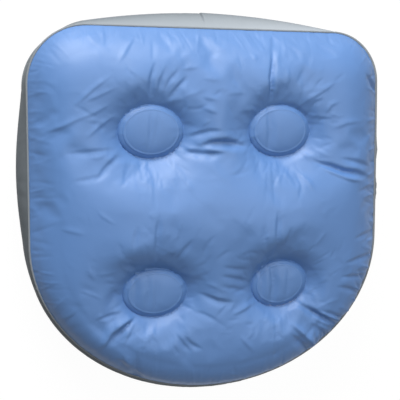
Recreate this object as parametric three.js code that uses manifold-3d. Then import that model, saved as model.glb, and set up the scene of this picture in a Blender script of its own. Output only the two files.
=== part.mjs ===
// A welded vinyl booster cushion for a hot tub seat: a tufted top panel, a bulging side band and an
// underside joined by two seam beads, four perforated tie columns inside and a push-in fill valve.
// Millimetres, +Z up, +Y towards the straight back edge, origin under the middle of the cushion.
import * as THREE from "three";
import { mergeVertices } from "three/addons/utils/BufferGeometryUtils.js";
import Module from "manifold-3d";

const wasm = await Module();
wasm.setup();

// Plan of the welded seams
const SEAM_WIDTH = 380;
const SEAM_DEPTH = 378;
const CORNER_RADIUS = 52;
const FRONT_DEPTH = 157; // length of the half-elliptical front

// Heights over the surface that the cushion rests on
const BOTTOM_SEAM_Z = 12;
const BAND_HEIGHT = 52;
const CROWN_RISE = 31; // level round the tufts over the top seam
const CROWN_RUN = 80; // plan distance over which the top rises from its seam
const MIDDLE_RISE = 11; // pillow between the two rows of tufts
const MIDDLE_REACH = 58; // from the pillow's crest to its foot
const MIDDLE_FULL = 85; // half the width over which the pillow is full
const MIDDLE_END = 165; // half the width over which it fades out
const REST_RUN = 42; // plan distance over which the underside falls to its resting face
const REST_CUT = 0.5; // how far the resting face is pressed flat
const SWELL_POWER = 3.5; // fullness of the crown's edge

// Outward bulge of the side band, half-way up
const BULGE_BACK = 18;
const BULGE_SIDE = 10;
const BULGE_FRONT = 8;

// Sheet, seam bead and the gap left between pieces
const FILM = 0.8;
const BEAD_RADIUS = 1.5;
const CLEAR = 0.3;

// Tufts: ovals where the top and the underside are tied together
const TUFT_PITCH_X = 137;
const TUFT_PITCH_Y = 162;
const TUFT_WIDTH = 68;
const TUFT_LENGTH = 54;
const TUFT_RISE = 18; // top tufts over the top seam
const TUFT_BOTTOM_Z = 10;
const TUFT_DOME = 4; // swelling of the sheet inside a tuft
const TOP_PULL = 36; // reach of a dimple round a top tuft
const BOTTOM_PULL = 22;
const PULL_POWER = 2;
const RIM_WIDTH = 5;
const RIM_HEIGHT = 1.6;
const RIM_BEVEL = 1.2;
const RIM_LAND = 2; // flat sheet left on each side of a rim
const VENT_RADIUS = 8; // holes that let the filling through a column

// Fill valve in the right-hand side of the band
const VALVE_SINK = 7.6; // how far the band is drawn in under the valve
const SINK_FLAT = 17;
const SINK_RADIUS = 25;
const FLANGE_RADIUS = 14;
const FLANGE_THICKNESS = 1.5;
const SLEEVE_WALL = 1.2;
const SLEEVE_DEPTH = 8;
const STEM_RADIUS = 6;
const STEM_LENGTH = 22;
const STEM_BORE = 3.8;
const STEM_RIM_RADIUS = 8;
const STEM_RIM_THICKNESS = 1.7;
const STEM_STOP_RADIUS = 7.6; // bead that keeps the stem from pulling out
const STEM_STOP_THICKNESS = 2;
const CAP_RADIUS = 8;
const CAP_THICKNESS = 2;
const SHANK_LENGTH = 5;
const SHANK_TIP_RADIUS = 2.2;
const PULL_LIP_LENGTH = 2.5;
const STRAP_WIDTH = 5;
const STRAP_THICKNESS = 1.6;
const STRAP_REACH = 10; // from the valve's axis to the bend of the strap
const FLAP_RADIUS = 6;
const FLAP_THICKNESS = 0.8;

// Facets
const SIDE_FACETS = 4;
const LOW_SIDE_FACETS = 2;
const CORNER_FACETS = 6;
const BACK_FACETS = 4;
const QUADRANT_FACETS = SIDE_FACETS + CORNER_FACETS + BACK_FACETS;
const FRONT_FACETS = QUADRANT_FACETS - LOW_SIDE_FACETS;
const SPOKE_SHARES = [0, 0.16, 0.31, 0.55, 0.8, 0.93]; // points along the lines between quadrants
const SINK_FACETS = 8;
const BAND_ROWS = 8;
const BEAD_SIDES = 8;
const OVAL_FACETS = 24;
const ROUND_FACETS = 24;
const TOP_RINGS = [0.14, 0.35, 0.6, 0.85, 1];
const BOTTOM_RINGS = [0.25, 0.7, 0.88, 1];
const DISC_RING = 0.5; // ring inside a tuft, as a share of the way in
const MERGE_TOLERANCE = 1e-4; // points closer than this are one point

// Values worked out from the sizes above
const HALF_WIDTH = SEAM_WIDTH / 2;
const HALF_DEPTH = SEAM_DEPTH / 2;
const CORNER_X = HALF_WIDTH - CORNER_RADIUS;
const CORNER_Y = HALF_DEPTH - CORNER_RADIUS;
const FRONT_Y = FRONT_DEPTH - HALF_DEPTH;
const TOP_SEAM_Z = BOTTOM_SEAM_Z + BAND_HEIGHT;
const TUFT_TOP_Z = TOP_SEAM_Z + TUFT_RISE;
const EDGE_GAP = BEAD_RADIUS + CLEAR; // from a seam's line to the sheets that meet its bead
const SIDE_HIGH_Y = HALF_DEPTH - CORNER_RADIUS / 2;
const SIDE_LOW_Y = FRONT_Y - CORNER_RADIUS;
const SIDE_MID_Y = (SIDE_HIGH_Y + SIDE_LOW_Y) / 2;
const VALVE_Y = SIDE_MID_Y;
const VALVE_Z = BOTTOM_SEAM_Z + BAND_HEIGHT / 2;
const SINK_X = HALF_WIDTH + BULGE_SIDE - VALVE_SINK;
const FACE_X = SINK_X + CLEAR + FLANGE_THICKNESS; // outer face of the valve's flange
const STEM_TOP_X = FACE_X + CLEAR + STEM_RIM_THICKNESS;
const CAP_X = STEM_TOP_X + CLEAR;
const GUIDE_RADIUS = STEM_RADIUS + CLEAR;
const SLEEVE_RADIUS = GUIDE_RADIUS + SLEEVE_WALL;
const TUFTS = [
  { name: "back_right", x: TUFT_PITCH_X / 2, y: TUFT_PITCH_Y / 2 },
  { name: "back_left", x: -TUFT_PITCH_X / 2, y: TUFT_PITCH_Y / 2 },
  { name: "front_left", x: -TUFT_PITCH_X / 2, y: -TUFT_PITCH_Y / 2 },
  { name: "front_right", x: TUFT_PITCH_X / 2, y: -TUFT_PITCH_Y / 2 },
];

// Materials
function vinyl(color, roughness) {
  return new THREE.MeshStandardMaterial({ color, roughness, metalness: 0 });
}

const topVinyl = vinyl(0x7fa8e0, 0.35);
const bandVinyl = vinyl(0x8f9aa3, 0.4);
const beadVinyl = vinyl(0xc9d2d8, 0.4);
const innerVinyl = vinyl(0xdfe3e6, 0.5);
const valveVinyl = vinyl(0xd7dde2, 0.3);

// Solids for joining and cutting
function solid(geometry) {
  const bare = new THREE.BufferGeometry();
  bare.setAttribute("position", geometry.getAttribute("position"));
  bare.setIndex(geometry.index);
  const merged = mergeVertices(bare, MERGE_TOLERANCE);
  return new wasm.Manifold(
    new wasm.Mesh({
      numProp: 3,
      vertProperties: merged.getAttribute("position").array,
      triVerts: new Uint32Array(merged.index.array),
    }),
  );
}

function geometryOf(body) {
  const { vertProperties, triVerts } = body.getMesh();
  const geometry = new THREE.BufferGeometry();
  geometry.setAttribute("position", new THREE.BufferAttribute(vertProperties, 3));
  geometry.setIndex(new THREE.BufferAttribute(triVerts, 1));
  geometry.computeVertexNormals();
  return geometry;
}

function facetGeometry(triangles) {
  const soup = new THREE.BufferGeometry().setFromPoints(triangles.flat());
  const geometry = mergeVertices(soup, MERGE_TOLERANCE);
  geometry.computeVertexNormals();
  return geometry;
}

// Seam outline, anticlockwise from the right-hand end of the line between the tuft rows
function line(x0, y0, x1, y1) {
  return new THREE.LineCurve(new THREE.Vector2(x0, y0), new THREE.Vector2(x1, y1));
}

function quarter(x, y, radiusX, radiusY, turn) {
  return new THREE.EllipseCurve(x, y, radiusX, radiusY, (turn * Math.PI) / 2, ((turn + 1) * Math.PI) / 2);
}

const rightSide = [[line(HALF_WIDTH, 0, HALF_WIDTH, CORNER_Y), SIDE_FACETS]];
const restOfOutline = [
  [quarter(CORNER_X, CORNER_Y, CORNER_RADIUS, CORNER_RADIUS, 0), CORNER_FACETS],
  [line(CORNER_X, HALF_DEPTH, 0, HALF_DEPTH), BACK_FACETS],
  [line(0, HALF_DEPTH, -CORNER_X, HALF_DEPTH), BACK_FACETS],
  [quarter(-CORNER_X, CORNER_Y, CORNER_RADIUS, CORNER_RADIUS, 1), CORNER_FACETS],
  [line(-HALF_WIDTH, CORNER_Y, -HALF_WIDTH, 0), SIDE_FACETS],
  [line(-HALF_WIDTH, 0, -HALF_WIDTH, FRONT_Y), LOW_SIDE_FACETS],
  [quarter(0, FRONT_Y, HALF_WIDTH, FRONT_DEPTH, 2), FRONT_FACETS],
  [quarter(0, FRONT_Y, HALF_WIDTH, FRONT_DEPTH, 3), FRONT_FACETS],
  [line(HALF_WIDTH, FRONT_Y, HALF_WIDTH, 0), LOW_SIDE_FACETS],
];

// The band's right-hand side is split finer where the valve draws it in
const valveSide = [
  [line(HALF_WIDTH, 0, HALF_WIDTH, VALVE_Y - SINK_RADIUS), 1],
  [line(HALF_WIDTH, VALVE_Y - SINK_RADIUS, HALF_WIDTH, VALVE_Y + SINK_RADIUS), SINK_FACETS],
  [line(HALF_WIDTH, VALVE_Y + SINK_RADIUS, HALF_WIDTH, CORNER_Y), SIDE_FACETS],
];

function stationsOf(runs) {
  return runs.flatMap(([curve, facets]) =>
    Array.from({ length: facets }, (_, i) => {
      const tangent = curve.getTangent(i / facets);
      const normal = new THREE.Vector2(tangent.y, -tangent.x);
      return { point: curve.getPoint(i / facets), normal };
    }),
  );
}

const seamStations = stationsOf([...rightSide, ...restOfOutline]);
const bandStations = stationsOf([...valveSide, ...restOfOutline]);
const panelEdge = seamStations.map(({ point, normal }) => point.clone().addScaledVector(normal, -EDGE_GAP));

function edgeDistance(point) {
  const along = new THREE.Line3();
  const nearest = new THREE.Vector3();
  const target = new THREE.Vector3(point.x, point.y, 0);
  let least = Infinity;
  panelEdge.forEach((from, i) => {
    const to = panelEdge[(i + 1) % panelEdge.length];
    along.start.set(from.x, from.y, 0);
    along.end.set(to.x, to.y, 0);
    along.closestPointToPoint(target, true, nearest);
    least = Math.min(least, nearest.distanceTo(target));
  });
  return least;
}

// Height of the sheets: swelling from the seam, drawn to the tufts
function swell(distance, run) {
  return 1 - (1 - Math.min(distance / run, 1)) ** SWELL_POWER;
}

function tuftShare(point, { x, y }) {
  return Math.hypot((point.x - x) / (TUFT_WIDTH / 2), (point.y - y) / (TUFT_LENGTH / 2));
}

function drawn(point, swollen, tuftZ, pull, dome) {
  const meanRadius = (TUFT_WIDTH + TUFT_LENGTH) / 4;
  const shares = TUFTS.map((tuft) => tuftShare(point, tuft));
  const freedom = shares.reduce((left, share) => {
    const distance = Math.max(0, (share - 1) * meanRadius);
    return left * (1 - Math.max(0, 1 - distance / pull) ** PULL_POWER);
  }, 1);
  const innerShare = 1 - (2 * RIM_LAND + RIM_WIDTH) / (TUFT_LENGTH / 2);
  const lift = dome * Math.max(0, 1 - (Math.min(...shares) / innerShare) ** 2);
  return tuftZ + (swollen - tuftZ) * freedom + lift;
}

function middleRise({ x, y }) {
  const across = 1 - THREE.MathUtils.smoothstep(Math.abs(x), MIDDLE_FULL, MIDDLE_END);
  const along = Math.min(Math.abs(y) / MIDDLE_REACH, 1);
  return (MIDDLE_RISE * across * (1 + Math.cos(Math.PI * along))) / 2;
}

function topHeight(point) {
  const level = TOP_SEAM_Z + CROWN_RISE * swell(edgeDistance(point), CROWN_RUN);
  const swollen = level + middleRise(point);
  return drawn(point, swollen, TUFT_TOP_Z, TOP_PULL, TUFT_DOME);
}

function bottomHeight(point) {
  const fall = (BOTTOM_SEAM_Z + REST_CUT) * swell(edgeDistance(point), REST_RUN);
  const swollen = Math.max(0, BOTTOM_SEAM_Z - fall);
  return drawn(point, swollen, TUFT_BOTTOM_Z, BOTTOM_PULL, -TUFT_DOME);
}

// A panel is four quadrants, each a set of rings that spread from a tuft to the quadrant's edge
function quadrantEdge(quadrant) {
  const first = quadrant * QUADRANT_FACETS;
  const edgeAt = (i) => panelEdge[(first + i) % panelEdge.length];
  const outer = Array.from({ length: QUADRANT_FACETS + 1 }, (_, i) => edgeAt(i));
  const spoke = (end) => SPOKE_SHARES.map((share) => end.clone().multiplyScalar(share));
  const inward = spoke(edgeAt(QUADRANT_FACETS)).reverse();
  const outward = spoke(edgeAt(0)).slice(1);
  return [...outer, ...inward, ...outward];
}

function ovalPoint(tuft, direction, inset) {
  const radiusX = TUFT_WIDTH / 2 - inset;
  const radiusY = TUFT_LENGTH / 2 - inset;
  const radius = 1 / Math.hypot(direction.x / radiusX, direction.y / radiusY);
  return direction.clone().multiplyScalar(radius).add(tuft);
}

function quadrantRings(quadrant, fractions) {
  const tuft = new THREE.Vector2(TUFTS[quadrant].x, TUFTS[quadrant].y);
  const edge = quadrantEdge(quadrant);
  const directions = edge.map((point) => point.clone().sub(tuft).normalize());
  const inner = directions.map((direction) => ovalPoint(tuft, direction, 2 * RIM_LAND + RIM_WIDTH));
  const middle = inner.map((point) => point.clone().lerp(tuft, DISC_RING));
  const rim = directions.map((direction) => ovalPoint(tuft, direction, 0));
  const spread = fractions.map((share) =>
    edge.map((point, i) => (share === 1 ? point : rim[i].clone().lerp(point, share))),
  );
  return [edge.map(() => tuft), middle, inner, rim, ...spread];
}

function panelFacets(fractions) {
  const facets = [];
  TUFTS.forEach((_, quadrant) => {
    const rings = quadrantRings(quadrant, fractions);
    rings.slice(1).forEach((outer, level) => {
      const inner = rings[level];
      outer.forEach((point, i) => {
        const next = (i + 1) % outer.length;
        facets.push([inner[i], point, outer[next]]);
        if (level > 0) facets.push([inner[i], outer[next], inner[next]]);
      });
    });
  });
  return facets;
}

function panelGeometry(fractions, lowerHeight, upperHeight) {
  const raise = (point, height) => new THREE.Vector3(point.x, point.y, height(point));
  const facets = panelFacets(fractions);
  const upper = facets.map((facet) => facet.map((point) => raise(point, upperHeight)));
  const lower = facets.map(([a, b, c]) => [a, c, b].map((point) => raise(point, lowerHeight)));
  const hem = panelEdge.flatMap((point, i) => {
    const next = panelEdge[(i + 1) % panelEdge.length];
    const corners = [raise(point, upperHeight), raise(point, lowerHeight)];
    const nextCorners = [raise(next, upperHeight), raise(next, lowerHeight)];
    return [
      [corners[0], corners[1], nextCorners[1]],
      [corners[0], nextCorners[1], nextCorners[0]],
    ];
  });
  return facetGeometry([...upper, ...lower, ...hem]);
}

// A closed ring: a section of [outward, height] points carried round a set of stations. Each cell is
// split along the diagonal that climbs, so that the two faces of a sheet have parallel facets.
function sweep(stations, sectionAt) {
  const loops = stations.map((station) =>
    sectionAt(station).map(([outward, z]) => {
      const point = station.point.clone().addScaledVector(station.normal, outward);
      return new THREE.Vector3(point.x, point.y, z);
    }),
  );
  const triangles = loops.flatMap((loop, i) => {
    const ahead = loops[(i + 1) % loops.length];
    return loop.flatMap((corner, j) => {
      const k = (j + 1) % loop.length;
      if (loop[k].z >= corner.z) {
        return [
          [corner, ahead[j], ahead[k]],
          [corner, ahead[k], loop[k]],
        ];
      }
      return [
        [corner, ahead[j], loop[k]],
        [ahead[j], ahead[k], loop[k]],
      ];
    });
  });
  return facetGeometry(triangles);
}

// Side band: bulges most half-way along the back and the sides, and is drawn in under the valve
function bulgeAt({ point, normal }) {
  const back = BULGE_BACK * Math.max(0, 1 - (point.x / (HALF_WIDTH - CORNER_RADIUS / 2)) ** 2);
  const halfSide = (SIDE_HIGH_Y - SIDE_LOW_Y) / 2;
  const side = BULGE_SIDE * Math.max(0, 1 - ((point.y - SIDE_MID_Y) / halfSide) ** 2) ** 2;
  const lengthwise = normal.y > 0 ? back * normal.y ** 2 : -BULGE_FRONT * normal.y;
  return side * normal.x ** 2 + lengthwise;
}

function bandOutward(station, z) {
  const share = (z - BOTTOM_SEAM_Z) / BAND_HEIGHT;
  const bulge = bulgeAt(station) * 4 * share * (1 - share);
  if (station.point.x < HALF_WIDTH) return bulge;
  const fromValve = Math.hypot(station.point.y - VALVE_Y, z - VALVE_Z);
  const hold = 1 - THREE.MathUtils.smoothstep(fromValve, SINK_FLAT, SINK_RADIUS);
  return THREE.MathUtils.lerp(bulge, SINK_X - HALF_WIDTH, hold);
}

function bandShell(outerGap, thickness) {
  const low = BOTTOM_SEAM_Z + EDGE_GAP;
  const high = TOP_SEAM_Z - EDGE_GAP;
  const rows = Array.from({ length: BAND_ROWS + 1 }, (_, i) => low + ((high - low) * i) / BAND_ROWS);
  return sweep(bandStations, (station) => {
    const outer = rows.map((z) => [bandOutward(station, z) + outerGap, z]);
    const inner = outer.map(([outward, z]) => [outward - thickness, z]).reverse();
    return [...outer, ...inner];
  });
}

function cylinderAlongX(radius, x0, x1, y, z) {
  const geometry = new THREE.CylinderGeometry(radius, radius, x1 - x0, ROUND_FACETS);
  return geometry.rotateZ(-Math.PI / 2).translate((x0 + x1) / 2, y, z);
}

function valveCylinder(radius, x0, x1) {
  return solid(cylinderAlongX(radius, x0, x1, VALVE_Y, VALVE_Z));
}

function sideBand() {
  const hole = valveCylinder(SLEEVE_RADIUS + CLEAR, FACE_X - STEM_LENGTH, FACE_X + SINK_RADIUS);
  return geometryOf(solid(bandShell(0, FILM)).subtract(hole));
}

// Seam beads
function seamBead(z) {
  const corner = Math.PI / BEAD_SIDES;
  const radius = BEAD_RADIUS / Math.cos(corner);
  const section = Array.from({ length: BEAD_SIDES }, (_, i) => {
    const angle = (2 * i + 1) * corner;
    return [radius * Math.cos(angle), z + radius * Math.sin(angle)];
  });
  return sweep(seamStations, () => section);
}

// Tuft rims and columns, round an oval that is centred on its own tuft
const ovalStations = stationsOf([
  [new THREE.EllipseCurve(0, 0, TUFT_WIDTH / 2, TUFT_LENGTH / 2, 0, 2 * Math.PI), OVAL_FACETS],
]);

function tuftRim(baseZ, side) {
  const outer = -RIM_LAND;
  const inner = outer - RIM_WIDTH;
  const faceZ = baseZ + side * RIM_HEIGHT;
  const section = [
    [inner, baseZ],
    [outer, baseZ],
    [outer - RIM_BEVEL, faceZ],
    [inner + RIM_BEVEL, faceZ],
  ];
  const facing = side > 0 ? section : section.toReversed();
  return sweep(ovalStations, () => facing);
}

function tuftColumn() {
  const outer = -RIM_LAND - (RIM_WIDTH - FILM) / 2;
  const low = TUFT_BOTTOM_Z + FILM + CLEAR;
  const high = TUFT_TOP_Z - FILM - CLEAR;
  const tube = sweep(ovalStations, () => [
    [outer - FILM, low],
    [outer, low],
    [outer, high],
    [outer - FILM, high],
  ]);
  const vents = cylinderAlongX(VENT_RADIUS, -TUFT_WIDTH, TUFT_WIDTH, 0, (low + high) / 2);
  return geometryOf(solid(tube).subtract(solid(vents)));
}

// Fill valve, turned about an axis along +X through the drawn-in part of the band
function turned(profile) {
  const points = profile.map(([radius, along]) => new THREE.Vector2(radius, along));
  const geometry = new THREE.LatheGeometry(points, ROUND_FACETS);
  return geometry.rotateZ(-Math.PI / 2).translate(FACE_X, VALVE_Y, VALVE_Z);
}

function valveBlock(x0, x1, y0, y1, width) {
  const geometry = new THREE.BoxGeometry(x1 - x0, y1 - y0, width);
  return solid(geometry.translate((x0 + x1) / 2, VALVE_Y + (y0 + y1) / 2, VALVE_Z));
}

function valveFlange() {
  const disc = valveCylinder(FLANGE_RADIUS, FACE_X - STEM_LENGTH, FACE_X + SINK_RADIUS);
  const skin = solid(bandShell(CLEAR + FLANGE_THICKNESS, FLANGE_THICKNESS)).intersect(disc);
  const sleeve = valveCylinder(SLEEVE_RADIUS, FACE_X - SLEEVE_DEPTH, FACE_X);
  const guide = valveCylinder(GUIDE_RADIUS, FACE_X - STEM_LENGTH, FACE_X + SINK_RADIUS);
  return geometryOf(skin.add(sleeve).subtract(guide));
}

function valveStem() {
  const rimTop = STEM_TOP_X - FACE_X;
  const tube = turned([
    [STEM_BORE, -STEM_LENGTH],
    [STEM_STOP_RADIUS, -STEM_LENGTH],
    [STEM_STOP_RADIUS, STEM_STOP_THICKNESS - STEM_LENGTH],
    [STEM_RADIUS, STEM_STOP_THICKNESS - STEM_LENGTH],
    [STEM_RADIUS, CLEAR],
    [STEM_RIM_RADIUS, CLEAR],
    [STEM_RIM_RADIUS, rimTop],
    [STEM_BORE, rimTop],
    [STEM_BORE, -STEM_LENGTH],
  ]);
  const lugEnd = STRAP_REACH + STRAP_THICKNESS / 2;
  const lug = valveBlock(FACE_X + CLEAR, STEM_TOP_X, STEM_RADIUS, lugEnd, STRAP_WIDTH);
  return geometryOf(solid(tube).add(lug));
}

function valvePlug() {
  const capFoot = CAP_X - FACE_X;
  const stopper = turned([
    [0, capFoot - SHANK_LENGTH],
    [SHANK_TIP_RADIUS, capFoot - SHANK_LENGTH],
    [STEM_BORE - CLEAR, capFoot],
    [CAP_RADIUS, capFoot],
    [CAP_RADIUS, capFoot + CAP_THICKNESS],
    [0, capFoot + CAP_THICKNESS],
  ]);
  const strap = valveBlock(CAP_X, CAP_X + STRAP_THICKNESS, STEM_RADIUS, STRAP_REACH, STRAP_WIDTH);
  const bendRadius = STRAP_THICKNESS / 2;
  const bend = new THREE.CylinderGeometry(bendRadius, bendRadius, STRAP_WIDTH, ROUND_FACETS / 2);
  bend.rotateX(Math.PI / 2).translate(CAP_X + bendRadius, VALVE_Y + STRAP_REACH, VALVE_Z);
  const lipEnd = -CAP_RADIUS - PULL_LIP_LENGTH;
  const lip = valveBlock(CAP_X, CAP_X + STRAP_THICKNESS, lipEnd, -STEM_RADIUS, STRAP_WIDTH);
  return geometryOf(solid(stopper).add(strap).add(solid(bend)).add(lip));
}

function valveFlap() {
  const seat = FACE_X - STEM_LENGTH - CLEAR;
  return cylinderAlongX(FLAP_RADIUS, seat - FLAP_THICKNESS, seat, VALVE_Y, VALVE_Z);
}

// Assembly
const cushion = new THREE.Group();
cushion.position.y = (BULGE_FRONT - BULGE_BACK) / 2;

function addPiece(name, geometry, material, x = 0, y = 0) {
  const mesh = new THREE.Mesh(geometry, material);
  mesh.name = name;
  mesh.position.set(x, y, 0);
  cushion.add(mesh);
}

const topPanel = panelGeometry(TOP_RINGS, (point) => topHeight(point) - FILM, topHeight);
const bottomPanel = panelGeometry(BOTTOM_RINGS, bottomHeight, (point) => bottomHeight(point) + FILM);
addPiece("top_panel", topPanel, topVinyl);
addPiece("bottom_panel", bottomPanel, bandVinyl);
addPiece("side_band", sideBand(), bandVinyl);
addPiece("top_seam", seamBead(TOP_SEAM_Z), beadVinyl);
addPiece("bottom_seam", seamBead(BOTTOM_SEAM_Z), beadVinyl);
for (const { name, x, y } of TUFTS) {
  addPiece(`tuft_rim_top_${name}`, tuftRim(TUFT_TOP_Z + CLEAR, 1), topVinyl, x, y);
  addPiece(`tuft_rim_bottom_${name}`, tuftRim(TUFT_BOTTOM_Z - CLEAR, -1), bandVinyl, x, y);
  addPiece(`tuft_column_${name}`, tuftColumn(), innerVinyl, x, y);
}
addPiece("valve_flange", valveFlange(), valveVinyl);
addPiece("valve_stem", valveStem(), valveVinyl);
addPiece("valve_plug", valvePlug(), valveVinyl);
addPiece("valve_flap", valveFlap(), innerVinyl);

const root = new THREE.Group();
root.add(cushion);

export default root;
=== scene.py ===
"""Looks of a tufted vinyl booster cushion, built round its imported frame. Sizes are in millimetres."""
import math

import bmesh
import bpy
import numpy as np
from mathutils import Matrix, Quaternion, Vector


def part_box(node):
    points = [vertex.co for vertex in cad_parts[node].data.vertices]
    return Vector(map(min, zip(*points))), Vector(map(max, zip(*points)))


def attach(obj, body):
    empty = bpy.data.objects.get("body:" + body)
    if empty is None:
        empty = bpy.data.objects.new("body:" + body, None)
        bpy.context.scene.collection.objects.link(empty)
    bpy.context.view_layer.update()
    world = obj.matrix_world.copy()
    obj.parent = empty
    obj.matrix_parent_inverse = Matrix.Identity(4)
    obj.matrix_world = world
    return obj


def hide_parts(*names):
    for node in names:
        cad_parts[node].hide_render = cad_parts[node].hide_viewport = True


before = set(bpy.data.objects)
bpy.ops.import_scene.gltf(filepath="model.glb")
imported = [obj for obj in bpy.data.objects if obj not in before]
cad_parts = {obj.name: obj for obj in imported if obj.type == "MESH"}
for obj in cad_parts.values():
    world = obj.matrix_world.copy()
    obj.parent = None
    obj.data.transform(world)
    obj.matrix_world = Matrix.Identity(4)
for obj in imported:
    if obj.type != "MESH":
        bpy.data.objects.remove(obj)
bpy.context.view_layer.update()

MM = 0.001

# Camera of the photograph, whose frame is 400 pixels square
PHOTO_SIZE = 400
CAMERA_PLACE = Vector((-262.2, 78.6, 927.5))
CAMERA_TARGET = Vector((-12.4, 5.3, 64.0))
CAMERA_ROLL = math.radians(0.1)
FOCAL_PIXELS = 856.4
SENSOR_WIDTH = 36.0
RAY_STEPS = 8

# Plan of the seams that isn't in the frame's boxes
CORNER_RADIUS = 52.0
LEFT_CORNER_RADIUS = 61.0
FRONT_DEPTH = 157.0
RIGHT_BOW = 0.6

# Outward bulge of the side band, half-way up
BULGE_BACK = 18.5
BULGE_SIDE = 10.0
BULGE_RIGHT = 13.5
BULGE_FRONT = 8.0

# Seat of the fill valve, drawn into the right-hand side of the band under the valve's flange
SINK_FLAT = 17.0
SINK_RADIUS = 25.0
SINK_UNDER = 1.8
VALVE_HOLE = 9.0

# Swelling of the sheets in from the seam
CROWN_RUN = 80.0
FRONT_RUN = 66.0
FRONT_EASE = 90.0
REST_RUN = 42.0
SWELL_POWER = 3.5
EASE_RADIUS = 14.0
EASE_SAMPLES = 8
FRONT_OVERHANG = 3.0
OVERHANG_RUN = 26.0
SEAM_DIP = 0.8
FILM = 0.8

# Plateau of the top, and the pillow on it between the two rows of tufts
PLATEAU_DROP = 11.0
MIDDLE_RISE = 9.0
MIDDLE_REACH_BACK = 58.0
MIDDLE_REACH_FRONT = 110.0
MIDDLE_FULL = 85.0
MIDDLE_END = 165.0

# Puff of the top behind each tuft
PUFF_SHIFT = (-18.0, 44.0)
PUFF_RADIUS = 22.0
PUFF_HEIGHT = 3.5

# Reach over which a tuft draws a sheet to it, shorter by a share on the side that faces one way in plan
TOP_PULL = 41.0
BOTTOM_PULL = 32.0
PULL_POWER = 2.3
SHORT_PULL = 0.3
SHORT_WAY = (0.68, 0.73)

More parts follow.
